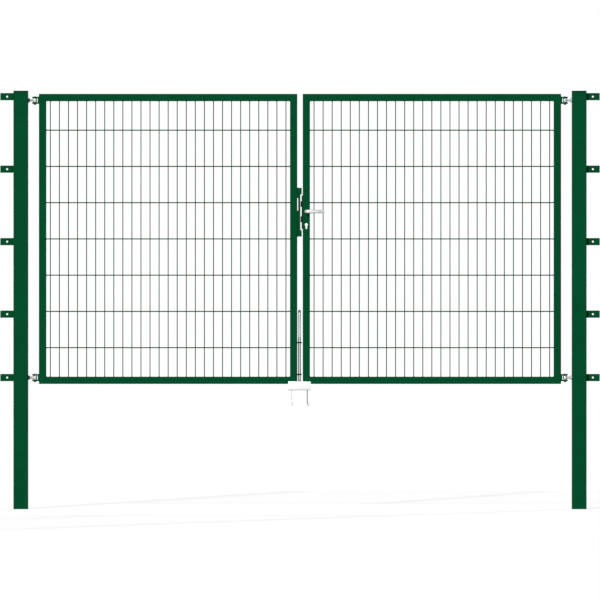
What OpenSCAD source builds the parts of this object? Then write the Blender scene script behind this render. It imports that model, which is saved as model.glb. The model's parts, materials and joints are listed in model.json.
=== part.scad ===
// Double swing gate: two leaves of welded square tube and double-wire mesh,
// hung between two tube posts, with a lock, a drop bolt and a ground stop.
//
// The origin is the centre of the left post's foot. +X runs along the gate to
// the right post, -Y is the front and +Z is up. Both leaves open to the rear.
// All sizes are in millimetres.

/* [Gate] */
// Clear width between the posts
clear_w = 3000; // [2400:50:4000]
// Height of each leaf
leaf_h = 1600; // [1300:50:2000]
// Length of each post that is set in the ground
post_buried = 655; // [500:5:900]
// Gap between the ground and the leaves
ground_gap = 35; // [30:1:60]
// Gap between each post and its leaf
hinge_gap = 60; // [58:1:80]
// Gap between the two closed leaves
meeting_gap = 30; // [30:1:34]

/* [Posts] */
// Outer width of the square post tube
post_w = 80; // [70:1:120]
// Wall of the post tube
post_wall = 3; // [2:0.5:5]
// Height of the post tube above the top of the leaves
post_rise = 10; // [0:1:60]
// Thickness of the cap on each post
cap_t = 7; // [4:0.5:12]
// Depth of the cap's spigot inside the post tube
cap_spigot = 20; // [10:1:40]
// Wall of the cap's spigot
cap_spigot_wall = 2.5; // [1.5:0.5:4]
// Chamfer round the top of the cap
cap_chamfer = 2; // [0.5:0.5:3]

/* [Fence tabs] */
// Height of each fence tab
tab_h = 40; // [30:1:60]
// Reach of each fence tab from the post
tab_reach = 74; // [50:1:100]
// Thickness of each fence tab
tab_t = 5; // [3:0.5:8]
// Diameter of the bolt hole in each fence tab
tab_hole_d = 11; // [7:0.5:14]
// Distance of the bolt hole from the post
tab_hole_reach = 36; // [20:1:40]
// Distance of the highest tab's centre below the top of the post tube
tab_top_drop = 25; // [25:1:60]
// Spacing of the four upper tabs
tab_pitch = 400; // [200:10:400]
// Height of the lowest tab's centre above the ground
tab_low_rise = 70; // [40:1:100]

/* [Leaf frame] */
// Width and depth of the square frame tube
frame_w = 40; // [38:1:50]
// Wall of the frame tube
frame_wall = 2; // [1.5:0.5:3]

/* [Mesh] */
// Diameter of the upright wires
upright_d = 5; // [4:0.5:6]
// Diameter of the level wires
level_d = 6; // [5:0.5:8]
// Spacing of the upright wires
upright_pitch = 50; // [40:1:80]
// Spacing of the pairs of level wires
level_pitch = 200; // [150:5:250]
// Depth to which crossing wires are welded into each other
weld_sink = 0.5; // [0.2:0.1:1]
// Least distance of an upright's axis from the frame
mesh_edge_gap = 15; // [10:1:25]

/* [Hinges] */
// Distance of each hinge from its end of the leaf
hinge_inset = 35; // [30:1:200]
// Diameter of the hinge pins
pin_d = 8; // [6:0.5:12]
// Distance of the pin axis from the leaf frame
pin_offset = 22; // [20:1:24]
// Diameter of the eye bolt's ring
eye_d = 22; // [20:1:26]
// Height of the eye bolt's ring
eye_h = 22; // [18:1:34]
// Diameter of the eye bolt's shank
shank_d = 14; // [10:1:16]
// Thickness of the bracket's plate on the leaf
bracket_t = 6.5; // [4:0.5:8]
// Thickness of the bracket's ears
ear_t = 8; // [4:0.5:10]
// Depth of the brackets, front to back
bracket_d = 32; // [26:1:32]
// Width across flats of the nuts on the eye bolts
shank_nut_af = 21; // [20:1:24]
// Thickness of the nuts on the eye bolts
shank_nut_t = 10; // [8:0.5:11]
// Diameter of the flanges on the outer nuts
flange_d = 27; // [24:1:28]
// Thickness of the flanges on the outer nuts
flange_t = 4.5; // [2:0.5:5]
// Width across flats of the nuts on the pins
pin_nut_af = 13; // [13:1:19]
// Thickness of the nuts on the pins
pin_nut_t = 5; // [4:0.5:8]
// Diameter of the domed heads on the pins
pin_head_d = 14; // [13:0.5:20]
// Height of the domed heads on the pins
pin_head_t = 4; // [3:0.5:6]

/* [Lock] */
// Height of the handle's spindle above the bottom of the leaf
spindle_rise = 951; // [800:1:1000]
// Width of the square spindle
spindle_w = 8; // [7:0.5:9]
// Height of the latch above the spindle
latch_rise = 41; // [38:1:50]
// Height of the latch bolt
latch_h = 31; // [20:1:32]
// Thickness of the latch bolt
latch_t = 12; // [8:0.5:13]
// Depth of the deadbolt below the spindle
deadbolt_drop = 42.5; // [38:0.5:46]
// Height of the deadbolt
deadbolt_h = 34; // [24:1:36]
// Thickness of the deadbolt
deadbolt_t = 10; // [8:0.5:12]
// Reach of the deadbolt out of the forend
deadbolt_reach = 5.5; // [3:0.5:5.5]
// Depth of the cylinder hole's centre below the spindle
cylinder_drop = 72; // [70:1:80]
// Diameter of the round part of the cylinder hole
cylinder_d = 17; // [16:0.5:17]
// Width of the web part of the cylinder hole
cylinder_web_w = 10; // [8:0.5:11]
// Overall height of the cylinder hole
cylinder_h = 33; // [30:0.5:34]
// Thickness of the forend
forend_t = 6; // [2:0.5:6]
// Width of the forend
forend_w = 24; // [22:1:28]
// Height of the forend above the spindle
forend_up = 88.5; // [70:0.5:91]
// Depth of the forend below the spindle
forend_down = 96; // [70:1:96]
// Thickness of the lock case
case_w = 18; // [16:0.5:24]
// Depth of the lock case behind the forend
case_depth = 33; // [30:0.5:34]
// Height of the upper fixing screw above the spindle
screw_up = 111; // [105:1:120]
// Depth of the lower fixing screw below the spindle
screw_down = 120; // [116:1:130]
// Diameter of the fixing screws
screw_d = 5; // [4:0.5:6]
// Diameter of the fixing screws' heads
screw_head_d = 10; // [8:0.5:11]
// Height of the fixing screws' heads
screw_head_t = 2.75; // [1.5:0.25:4]

/* [Handle] */
// Distance of the lever's axis from the frame
lever_stand = 38; // [30:1:60]
// Length of the lever from the spindle's axis to its tip
lever_reach = 101; // [80:1:130]
// Thickness of the lever
lever_d = 20; // [16:0.5:24]
// Thickness of the lever at its tip
lever_tip_d = 18; // [14:0.5:24]
// Distance of the lever's bend from the spindle's axis
lever_bend = 60; // [40:1:70]
// Distance that the lever's tip bends back towards the gate
lever_return = 10; // [0:1:14]

/* [Keep] */
// Width of the keep's web
keep_web_w = 17; // [14:0.5:17]
// Depth of the keep, front to back
keep_d = 30; // [26:1:36]
// Wall of the keep
keep_wall = 3; // [2:0.5:4]
// Height of the keep
keep_h = 269; // [262:1:280]
// Height of each arm of the keep
keep_arm_h = 36.5; // [28:0.5:36.5]
// Height of the keep's centre above the spindle
keep_rise = -3.5; // [-5:0.5:-2]
// Width of the latch slot beside the stile
keep_slot_w = 5; // [4:0.5:8]
// Height of the latch slot beside the stile
keep_slot_h = 69; // [40:1:76]
// Depth of the slot's centre below the latch's
keep_slot_drop = 1; // [0:1:8]

/* [Drop bolt] */
// Diameter of the drop bolt
bolt_d = 16; // [12:1:16]
// Distance of the bolt's axis from the left leaf
bolt_offset = 12; // [12:0.5:12.5]
// Height of the lower guide above the bottom of the leaf
guide_low_rise = 52; // [50:1:80]
// Height of the upper guide above the bottom of the leaf
guide_high_rise = 228; // [180:1:230]
// Thickness of the guides
guide_t = 7; // [6:0.5:12]
// Height of the top of the bolt's handle above the bottom of the leaf
bolt_top_rise = 410; // [400:1:600]
// Radius of the bend in the bolt's handle
bolt_bend_r = 22; // [20:1:30]
// Length of the handle's returned leg from its top
bolt_leg = 154; // [100:1:160]
// Height of the bolt's tip above the stop plate
bolt_tip_gap = 8.5; // [6:0.5:12]

/* [Ground stop] */
// Width of the stop plate
stop_w = 125; // [110:1:160]
// Height of the stop's lip above the ground
stop_h = 49; // [40:1:60]
// Thickness of the stop plate
stop_t = 5; // [4:0.5:6]
// Inner radius of the bend in the stop plate
stop_bend_r = 3; // [2:0.5:4]
// Reach of the stop plate behind the gate's centre line
stop_back = 25; // [20:1:50]
// Diameter of the bolt hole in the stop plate
stop_hole_d = 22; // [20:0.5:26]
// Length of the anchor legs
anchor_l = 86; // [60:1:120]
// Thickness of the anchor legs
anchor_t = 5; // [4:0.5:6]
// Depth of the anchor legs, front to back
anchor_d = 30; // [20:1:40]
// Spacing of the anchor legs
anchor_pitch = 86; // [60:1:100]
// Length of the bent end of each anchor leg
anchor_foot_l = 22; // [10:1:30]
// Distance that the end of each anchor leg bends sideways
anchor_foot_bend = 6; // [2:0.5:12]

/* [Clearances] */
// Gap between pieces of one leaf and the other leaf
leaf_clear = 5.5; // [5.2:0.1:6]
// Gap between the latch and the keep
latch_clear = 1.5; // [1:0.1:5.5]
// Gap between the leaves and the stop's lip
stop_clear = 5; // [5:0.5:10]
// Radial clearance of the hinge pins
pin_clear = 0.1; // [0.02:0.02:0.1]
// Gap between an eye and the bracket's ears
eye_play = 0.5; // [0.3:0.1:1]
// Clearance of sliding and turning pieces
slide_clear = 0.3; // [0.2:0.05:0.5]
// Clearance of the drop bolt in its guides
guide_clear = 0.5; // [0.3:0.1:1]
// Clearance of threads and of holes that screws pass through
thread_clear = 0.1; // [0.05:0.05:0.2]
// Clearance of holes in tube walls
hole_clear = 0.5; // [0.3:0.1:1]

/* [Hidden] */

coat = [0.004, 0.302, 0.180];
cap_black = [0.10, 0.20, 0.16];
zinc = [0.80, 0.82, 0.83];
bright = [0.90, 0.90, 0.91];
dull = [0.42, 0.44, 0.45];
round_fn = 48;
wire_fn = 8;
lever_fn = 32;
// Overlap of cutting shapes past the faces that they cut
cut = 1;

// Heights
ground_z = post_buried;
leaf_z = ground_z + ground_gap;
post_top = leaf_z + leaf_h + post_rise;
hinge_rises = [hinge_inset, leaf_h - hinge_inset];
tab_heights = concat(
    [ground_z + tab_low_rise],
    [for (i = [3:-1:0]) post_top - tab_top_drop - i * tab_pitch]
);

// Places along the gate
leaf_w = (clear_w - 2 * hinge_gap - meeting_gap) / 2;
post_pitch = clear_w + post_w;
left_leaf_x = post_w / 2 + hinge_gap;
right_leaf_x = post_pitch - left_leaf_x;
left_meeting_x = left_leaf_x + leaf_w;
right_meeting_x = right_leaf_x - leaf_w;
bolt_x = left_meeting_x + bolt_offset;
arm_reach = meeting_gap - leaf_clear;
guide_r = arm_reach - bolt_offset;

// Hinges, seen from the post that carries them
pin_x = post_w / 2 + hinge_gap - pin_offset;
pin_bore_r = pin_d / 2 + pin_clear;
ear_gap = eye_h + 2 * eye_play;
bracket_h = ear_gap + 2 * ear_t;
ear_r = bracket_d / 2;
shank_tail = 3;
pin_tail = 1;

// Lock, seen from the spindle's axis in the middle of the right meeting stile
lock_x = right_meeting_x + frame_w / 2;
lock_z = leaf_z + spindle_rise;
face_x = -frame_w / 2;
forend_x = face_x - forend_t;
keep_x = left_meeting_x - lock_x;
latch_tip_x = keep_x + keep_web_w + latch_clear;
latch_tail = 24;
spindle_l = frame_w + 2 * lever_stand;
spindle_r = spindle_w * sqrt(2) / 2 + slide_clear;
bolt_travel = 11;
channel_x = latch_tip_x + latch_tail + bolt_travel;
case_up = 86;
case_end = 12;
case_down = cylinder_drop - cylinder_d / 2 + cylinder_h + case_end;
neck_margin = 4;

// ---- Shared shapes ----

// Square of width w with corners of radius r
module round_square(w, r) {
    square([w, w - 2 * r], center = true);
    square([w - 2 * r, w], center = true);
    for (x = [-1, 1], y = [-1, 1])
        translate([x * (w / 2 - r), y * (w / 2 - r)])
            circle(r, $fn = round_fn);
}

// Section of a square tube, with corners rounded to twice the wall
module tube_section(w, wall) {
    difference() {
        round_square(w, 2 * wall);
        round_square(w - 2 * wall, wall);
    }
}

// Upright frame tube whose ends are mitred, longest on its -X side
module mitred_tube(l) {
    half = frame_w / 2 + cut;
    intersection() {
        linear_extrude(l)
            tube_section(frame_w, frame_wall);
        rotate([90, 0, 0])
            linear_extrude(frame_w + 2 * cut, center = true)
                polygon([
                    [-half, -cut],
                    [half, frame_w + cut],
                    [half, l - frame_w - cut],
                    [-half, l + cut]
                ]);
    }
}

// Hexagon nut along +Z, drilled through together with any flange it is given
module nut(af, t, bore_r) {
    difference() {
        union() {
            cylinder(h = t, r = af / sqrt(3), $fn = 6);
            children();
        }
        translate([0, 0, -cut])
            cylinder(h = t + 2 * cut, r = bore_r, $fn = round_fn);
    }
}

// Cylinder along Y, centred on the X-Z plane
module across(l, r) {
    rotate([90, 0, 0])
        cylinder(h = l, r = r, center = true, $fn = round_fn);
}

// ---- Places ----

module on_left_post() {
    children();
}

module on_right_post() {
    translate([post_pitch, 0, 0])
        mirror([1, 0, 0])
            children();
}

module on_left_leaf() {
    translate([left_leaf_x, 0, leaf_z])
        children();
}

module on_right_leaf() {
    translate([right_leaf_x, 0, leaf_z])
        mirror([1, 0, 0])
            children();
}

module on_lock() {
    translate([lock_x, 0, lock_z])
        children();
}

// ---- Posts, seen with the gate on their +X side ----

module post() {
    color(coat)
        difference() {
            linear_extrude(post_top)
                tube_section(post_w, post_wall);
            for (z = hinge_rises)
                translate([post_w / 2 - post_wall - cut, 0, leaf_z + z])
                    rotate([0, 90, 0])
                        cylinder(
                            h = post_wall + 2 * cut,
                            r = shank_d / 2 + hole_clear,
                            $fn = round_fn
                        );
        }
}

// Outline of the cap's plate seen from one side, with its chamfers
module cap_profile() {
    half = post_w / 2;
    polygon([
        [-half - cut, -cut],
        [half + cut, -cut],
        [half + cut, cap_t - cap_chamfer - cut],
        [half - cap_chamfer, cap_t],
        [-half + cap_chamfer, cap_t],
        [-half - cut, cap_t - cap_chamfer - cut]
    ]);
}

// The cap's profile drawn right through the post, turned about Z
module cap_sweep(turn) {
    rotate([90, 0, turn])
        linear_extrude(post_w + 2 * cut, center = true)
            cap_profile();
}

module post_cap() {
    bore_w = post_w - 2 * post_wall - 2 * slide_clear;
    color(cap_black)
        translate([0, 0, post_top])
            union() {
                intersection() {
                    linear_extrude(cap_t)
                        round_square(post_w, 2 * post_wall);
                    cap_sweep(0);
                    cap_sweep(90);
                }
                translate([0, 0, -cap_spigot])
                    linear_extrude(cap_spigot + cut)
                        difference() {
                            round_square(bore_w, post_wall);
                            round_square(bore_w - 2 * cap_spigot_wall, post_wall / 2);
                        }
            }
}

module fence_tabs() {
    color(coat)
        for (z = tab_heights)
            translate([-post_w / 2 - tab_reach, -tab_t / 2, z - tab_h / 2])
                difference() {
                    cube([tab_reach, tab_t, tab_h]);
                    translate([tab_reach - tab_hole_reach, tab_t / 2, tab_h / 2])
                        across(tab_t + 2 * cut, tab_hole_d / 2);
                }
}

module eye_bolts() {
    shank_start = post_w / 2 - post_wall - shank_nut_t - shank_tail;
    shank_end = pin_x - (eye_d / 2 + pin_bore_r) / 2;
    color(zinc)
        for (z = hinge_rises)
            translate([0, 0, leaf_z + z])
                difference() {
                    union() {
                        translate([pin_x, 0, 0])
                            cylinder(h = eye_h, r = eye_d / 2, center = true, $fn = round_fn);
                        translate([shank_start, 0, 0])
                            rotate([0, 90, 0])
                                cylinder(
                                    h = shank_end - shank_start,
                                    r = shank_d / 2,
                                    $fn = round_fn
                                );
                    }
                    translate([pin_x, 0, 0])
                        cylinder(
                            h = eye_h + 2 * cut,
                            r = pin_bore_r,
                            center = true,
                            $fn = round_fn
                        );
                }
}

// A flanged lock nut outside the post's wall and a welded nut inside it at each hinge,
// each with two of its flats level
module hinge_nuts() {
    bore_r = shank_d / 2 + thread_clear;
    color(dull)
        for (z = hinge_rises)
            translate([post_w / 2, 0, leaf_z + z])
                rotate([0, 90, 0])
                    rotate(30) {
                        nut(shank_nut_af, shank_nut_t, bore_r)
                            cylinder(h = flange_t, r = flange_d / 2, $fn = round_fn);
                        translate([0, 0, -post_wall - shank_nut_t])
                            nut(shank_nut_af, shank_nut_t, bore_r);
                    }
}

// ---- Leaves, seen from the bottom of their hinge edge, with +X to the meeting edge ----

module hinge_stile() {
    color(coat)
        translate([frame_w / 2, 0, 0])
            mitred_tube(leaf_h);
}

module meeting_stile() {
    color(coat)
        translate([leaf_w - frame_w / 2, 0, 0])
            mirror([1, 0, 0])
                mitred_tube(leaf_h);
}

module top_rail() {
    color(coat)
        translate([0, 0, leaf_h - frame_w / 2])
            rotate([0, 90, 0])
                mitred_tube(leaf_w);
}

module bottom_rail() {
    color(coat)
        translate([0, 0, frame_w / 2])
            mirror([0, 0, 1])
                rotate([0, 90, 0])
                    mitred_tube(leaf_w);
}

module mesh_panel() {
    inner_w = leaf_w - 2 * frame_w;
    inner_h = leaf_h - 2 * frame_w;
    upright_gaps = floor((inner_w - 2 * mesh_edge_gap) / upright_pitch);
    level_gaps = floor((inner_h - level_pitch) / level_pitch);
    level_y = (upright_d + level_d) / 2 - weld_sink;
    color(coat)
        translate([leaf_w / 2, 0, leaf_h / 2])
            union() {
                for (i = [0:upright_gaps])
                    translate([(i - upright_gaps / 2) * upright_pitch, 0, 0])
                        cylinder(h = inner_h, r = upright_d / 2, center = true, $fn = wire_fn);
                for (i = [0:level_gaps], side = [-1, 1])
                    translate([0, side * level_y, (i - level_gaps / 2) * level_pitch])
                        rotate([0, 90, 0])
                            cylinder(h = inner_w, r = level_d / 2, center = true, $fn = wire_fn);
            }
}

// Outline of a bracket's ear seen from above, with its rounded end on the pin
module ear_outline() {
    translate([-pin_offset, 0])
        circle(ear_r, $fn = round_fn);
    translate([-pin_offset, -ear_r])
        square([pin_offset, bracket_d]);
}

module hinge_brackets() {
    color(coat)
        for (z = hinge_rises)
            translate([0, 0, z - bracket_h / 2])
                difference() {
                    linear_extrude(bracket_h)
                        ear_outline();
                    translate([-pin_offset - ear_r - cut, -ear_r - cut, ear_t])
                        cube([pin_offset + ear_r + cut - bracket_t, bracket_d + 2 * cut, ear_gap]);
                    translate([-pin_offset, 0, -cut])
                        cylinder(h = bracket_h + 2 * cut, r = pin_bore_r, $fn = round_fn);
                }
}

// Pin with a domed head that rests on the upper ear
module hinge_pins() {
    drop = bracket_h / 2 + pin_nut_t + pin_tail;
    head_r = pin_head_d / 2;
    dome_r = (head_r * head_r + pin_head_t * pin_head_t) / (2 * pin_head_t);
    color(zinc)
        for (z = hinge_rises)
            translate([-pin_offset, 0, z])
                union() {
                    translate([0, 0, -drop])
                        cylinder(h = drop + bracket_h / 2 + cut, r = pin_d / 2, $fn = round_fn);
                    translate([0, 0, bracket_h / 2])
                        intersection() {
                            cylinder(h = pin_head_t + cut, r = head_r, $fn = round_fn);
                            translate([0, 0, pin_head_t - dome_r])
                                sphere(dome_r, $fn = round_fn);
                        }
                }
}

module pin_nuts() {
    color(dull)
        for (z = hinge_rises)
            translate([-pin_offset, 0, z - bracket_h / 2 - pin_nut_t])
                nut(pin_nut_af, pin_nut_t, pin_d / 2 + thread_clear);
}

// ---- Lock, seen from the spindle's axis ----

// Outline of a profile cylinder, seen from the front
module cylinder_outline() {
    web_r = cylinder_web_w / 2;
    web_l = cylinder_h - cylinder_d / 2 - web_r;
    translate([0, -cylinder_drop]) {
        circle(cylinder_d / 2, $fn = round_fn);
        translate([-web_r, -web_l])
            square([cylinder_web_w, web_l]);
        translate([0, -web_l])
            circle(web_r, $fn = round_fn);
    }
}

module cylinder_cut(l) {
    rotate([90, 0, 0])
        linear_extrude(l, center = true)
            cylinder_outline();
}

// What the lock takes out of the stile's walls
module stile_cuts() {
    neck_w = case_w + 2 * hole_clear;
    neck_down = forend_down - neck_margin;
    neck_up = forend_up - neck_margin;
    across(frame_w + 2 * cut, spindle_r);
    cylinder_cut(frame_w + 2 * cut);
    translate([face_x - cut, -neck_w / 2, -neck_down])
        cube([frame_wall + 2 * cut, neck_w, neck_down + neck_up]);
    for (z = [screw_up, -screw_down])
        translate([0, -frame_w / 2, z])
            across(2 * frame_wall + 2 * cut, screw_d / 2 + hole_clear);
}

// Fixing tongue behind the stile's front wall, from the case's end past its screw
module fixing_tongue(case_edge, screw_z) {
    tongue_w = 14;
    tongue_t = 3;
    tongue_end = 8;
    pad_l = 12;
    y = -frame_w / 2 + frame_wall + hole_clear;
    translate([-tongue_w / 2, y, case_edge - pad_l]) {
        cube([tongue_w, tongue_t, screw_z + tongue_end - case_edge + pad_l]);
        cube([tongue_w, -y - case_w / 2 + cut, pad_l]);
    }
}

module lock_case() {
    back_x = face_x + case_depth;
    inner_x = face_x + frame_wall + hole_clear / 2;
    neck_down = forend_down - neck_margin - hole_clear;
    neck_up = forend_up - neck_margin - hole_clear;
    color(dull)
        on_lock()
            difference() {
                union() {
                    translate([inner_x, -case_w / 2, -case_down])
                        cube([back_x - inner_x, case_w, case_down + case_up]);
                    translate([face_x, -case_w / 2, -neck_down])
                        cube([case_depth / 2, case_w, neck_down + min(neck_up, case_up)]);
                    fixing_tongue(case_up, screw_up);
                    mirror([0, 0, 1])
                        fixing_tongue(case_down, screw_down);
                }
                across(frame_w, spindle_r);
                cylinder_cut(frame_w);
                bolt_channel(latch_rise, latch_h, latch_t, channel_x);
                bolt_channel(-deadbolt_drop, deadbolt_h, deadbolt_t, channel_x);
                for (z = [screw_up, -screw_down])
                    translate([0, -frame_w / 2, z])
                        across(frame_w, screw_d / 2 + thread_clear);
            }
}

// Space for a bolt at height z, from in front of the forend to end_x
module bolt_channel(z, h, t, end_x) {
    start_x = forend_x - cut;
    translate([start_x, -t / 2 - slide_clear, z - h / 2 - slide_clear])
        cube([end_x - start_x, t + 2 * slide_clear, h + 2 * slide_clear]);
}

module lock_forend() {
    color(dull)
        on_lock()
            difference() {
                translate([forend_x, -forend_w / 2, -forend_down])
                    cube([forend_t, forend_w, forend_down + forend_up]);
                bolt_channel(latch_rise, latch_h, latch_t, 0);
                bolt_channel(-deadbolt_drop, deadbolt_h, deadbolt_t, 0);
            }
}

module deadbolt() {
    color(zinc)
        on_lock()
            translate([forend_x - deadbolt_reach, -deadbolt_t / 2, -deadbolt_drop - deadbolt_h / 2])
                cube([latch_tail, deadbolt_t, deadbolt_h]);
}

// Latch bolt, bevelled at the front so that it rides in when the leaf closes
module latch_bolt() {
    half = latch_t / 2;
    flat_w = latch_t / 3;
    bevel_l = forend_x - latch_tip_x;
    color(zinc)
        on_lock()
            translate([latch_tip_x, 0, latch_rise - latch_h / 2])
                linear_extrude(latch_h)
                    polygon([
                        [0, half],
                        [0, half - flat_w],
                        [bevel_l, -half],
                        [latch_tail, -half],
                        [latch_tail, half]
                    ]);
}

module lock_screws() {
    shank_l = 12;
    color(zinc)
        on_lock()
            for (z = [screw_up, -screw_down])
                translate([0, -frame_w / 2, z])
                    rotate([90, 0, 0]) {
                        cylinder(h = screw_head_t, r = screw_head_d / 2, $fn = round_fn);
                        translate([0, 0, -shank_l])
                            cylinder(h = shank_l + screw_head_t / 2, r = screw_d / 2, $fn = round_fn);
                    }
}

// ---- Handle ----

module spindle() {
    color(dull)
        on_lock()
            cube([spindle_w, spindle_l, spindle_w], center = true);
}

// Lever in front of the gate, with its boss on the spindle
module lever() {
    r = lever_d / 2;
    arm_y = -frame_w / 2 - lever_stand;
    tip_r = lever_tip_d / 2;
    hole_w = spindle_w + 2 * thread_clear;
    boss_l = lever_stand - slide_clear;
    difference() {
        union() {
            translate([0, arm_y + boss_l / 2, 0])
                across(boss_l, r);
            hull() {
                translate([0, arm_y, 0])
                    sphere(r, $fn = lever_fn);
                translate([lever_bend, arm_y, 0])
                    sphere(r, $fn = lever_fn);
            }
            hull() {
                translate([lever_bend, arm_y, 0])
                    sphere(r, $fn = lever_fn);
                translate([lever_reach - tip_r, arm_y + lever_return, 0])
                    sphere(tip_r, $fn = lever_fn);
            }
        }
        cube([hole_w, spindle_l + 2 * thread_clear, hole_w], center = true);
    }
}

module front_lever() {
    color(bright)
        on_lock()
            lever();
}

module rear_lever() {
    color(bright)
        on_lock()
            mirror([0, 1, 0])
                lever();
}

// ---- Keep on the left leaf, seen from its stile's face at the spindle's height ----

// Outline of the keep seen from the front, with walls drawn in by inset
module keep_outline(inset) {
    high = keep_rise + keep_h / 2 - inset;
    low = keep_rise - keep_h / 2 + inset;
    arm = keep_arm_h - 2 * inset;
    translate([-cut * sign(inset), low])
        square([keep_web_w - inset + cut * sign(inset), high - low]);
    for (z = [low, high - arm])
        translate([-cut * sign(inset), z])
            square([arm_reach - inset + cut * sign(inset), arm]);
}

module lock_keep() {
    color(coat)
        translate([left_meeting_x, 0, lock_z])
            difference() {
                rotate([90, 0, 0])
                    linear_extrude(keep_d, center = true)
                        keep_outline(0);
                rotate([90, 0, 0])
                    linear_extrude(keep_d - 2 * keep_wall, center = true)
                        keep_outline(keep_wall);
                translate([-cut, -keep_d, latch_rise - keep_slot_drop - keep_slot_h / 2])
                    cube([keep_slot_w + cut, 2 * keep_d, keep_slot_h]);
                keep_pocket(latch_rise, latch_h, latch_t);
                keep_pocket(-deadbolt_drop, deadbolt_h, deadbolt_t);
            }
}

// Pocket through the keep's web for a bolt at height z
module keep_pocket(z, h, t) {
    pocket_clear = 3;
    translate([0, -t / 2 - pocket_clear / 2, z - h / 2 - pocket_clear])
        cube([keep_web_w + cut, t + pocket_clear, h + 2 * pocket_clear]);
}

// ---- Drop bolt and its guides, seen from the bolt's axis at the leaf's bottom ----

module on_bolt() {
    translate([bolt_x, 0, leaf_z])
        children();
}

module bolt_guide(rise) {
    color(dull)
        on_bolt()
            translate([0, 0, rise - guide_t / 2])
                linear_extrude(guide_t)
                    difference() {
                        union() {
                            circle(guide_r, $fn = round_fn);
                            translate([-bolt_offset, -guide_r])
                                square([bolt_offset, 2 * guide_r]);
                        }
                        circle(bolt_d / 2 + guide_clear, $fn = round_fn);
                        translate([-bolt_offset - 2 * guide_r, -2 * guide_r])
                            square([2 * guide_r, 4 * guide_r]);
                    }
}

module upper_bolt_guide() {
    bolt_guide(guide_high_rise);
}

module lower_bolt_guide() {
    bolt_guide(guide_low_rise);
}

// Round bar bent over at the top into a handle in front of the gate
module drop_bolt() {
    r = bolt_d / 2;
    tip = stop_t + bolt_tip_gap - ground_gap;
    bend_z = bolt_top_rise - bolt_bend_r - r;
    leg_end = bolt_top_rise - bolt_leg;
    color(zinc)
        on_bolt()
            union() {
                translate([0, 0, tip])
                    cylinder(h = bend_z - tip, r = r, $fn = round_fn);
                translate([0, -bolt_bend_r, bend_z])
                    rotate([90, 0, 90])
                        rotate_extrude(angle = 180, $fn = round_fn)
                            translate([bolt_bend_r, 0])
                                circle(r, $fn = round_fn);
                translate([0, -2 * bolt_bend_r, leg_end])
                    cylinder(h = bend_z - leg_end, r = r, $fn = round_fn);
            }
}

// ---- Ground stop, seen from the bolt's axis at ground level ----

module on_stop() {
    translate([bolt_x, 0, ground_z])
        children();
}

// Section of the bent stop plate, with its front to the left
module stop_section() {
    back_y = -frame_w / 2 - stop_clear;
    bend_y = back_y + stop_bend_r;
    bend_z = stop_t + stop_bend_r;
    outer_r = stop_t + stop_bend_r;
    translate([bend_y, 0])
        square([stop_back - bend_y, stop_t]);
    translate([back_y - stop_t, bend_z])
        square([stop_t, stop_h - bend_z]);
    translate([bend_y, bend_z])
        intersection() {
            difference() {
                circle(outer_r, $fn = round_fn);
                circle(stop_bend_r, $fn = round_fn);
            }
            translate([-outer_r, -outer_r])
                square(outer_r);
        }
}

module ground_stop_plate() {
    color(zinc)
        on_stop()
            difference() {
                translate([-stop_w / 2, 0, 0])
                    rotate([90, 0, 90])
                        linear_extrude(stop_w)
                            stop_section();
                translate([0, 0, -cut])
                    cylinder(h = stop_t + 2 * cut, r = stop_hole_d / 2, $fn = round_fn);
            }
}

module ground_stop_anchors() {
    half = anchor_t / 2;
    shoulder = anchor_foot_l - anchor_l;
    color(zinc)
        on_stop()
            for (side = [-1, 1])
                translate([side * anchor_pitch / 2, 0, 0])
                    rotate([90, 0, 0])
                        linear_extrude(anchor_d, center = true)
                            polygon([
                                [-half, 0],
                                [half, 0],
                                [half, shoulder],
                                [half + anchor_foot_bend, -anchor_l],
                                [anchor_foot_bend - half, -anchor_l],
                                [-half, shoulder]
                            ]);
}

// ---- Nodes ----

module left_post() on_left_post() post();
module right_post() on_right_post() post();
module left_post_cap() on_left_post() post_cap();
module right_post_cap() on_right_post() post_cap();
module left_fence_tabs() on_left_post() fence_tabs();
module right_fence_tabs() on_right_post() fence_tabs();
module left_eye_bolts() on_left_post() eye_bolts();
module right_eye_bolts() on_right_post() eye_bolts();
module left_hinge_nuts() on_left_post() hinge_nuts();
module right_hinge_nuts() on_right_post() hinge_nuts();

module left_hinge_stile() on_left_leaf() hinge_stile();
module left_meeting_stile() on_left_leaf() meeting_stile();
module left_top_rail() on_left_leaf() top_rail();
module left_bottom_rail() on_left_leaf() bottom_rail();
module left_mesh_panel() on_left_leaf() mesh_panel();
module left_hinge_brackets() on_left_leaf() hinge_brackets();
module left_hinge_pins() on_left_leaf() hinge_pins();
module left_pin_nuts() on_left_leaf() pin_nuts();

module right_hinge_stile() on_right_leaf() hinge_stile();
module right_top_rail() on_right_leaf() top_rail();
module right_bottom_rail() on_right_leaf() bottom_rail();
module right_mesh_panel() on_right_leaf() mesh_panel();
module right_hinge_brackets() on_right_leaf() hinge_brackets();
module right_hinge_pins() on_right_leaf() hinge_pins();
module right_pin_nuts() on_right_leaf() pin_nuts();

module right_meeting_stile() {
    color(coat)
        difference() {
            on_right_leaf()
                meeting_stile();
            on_lock()
                stile_cuts();
        }
}

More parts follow.
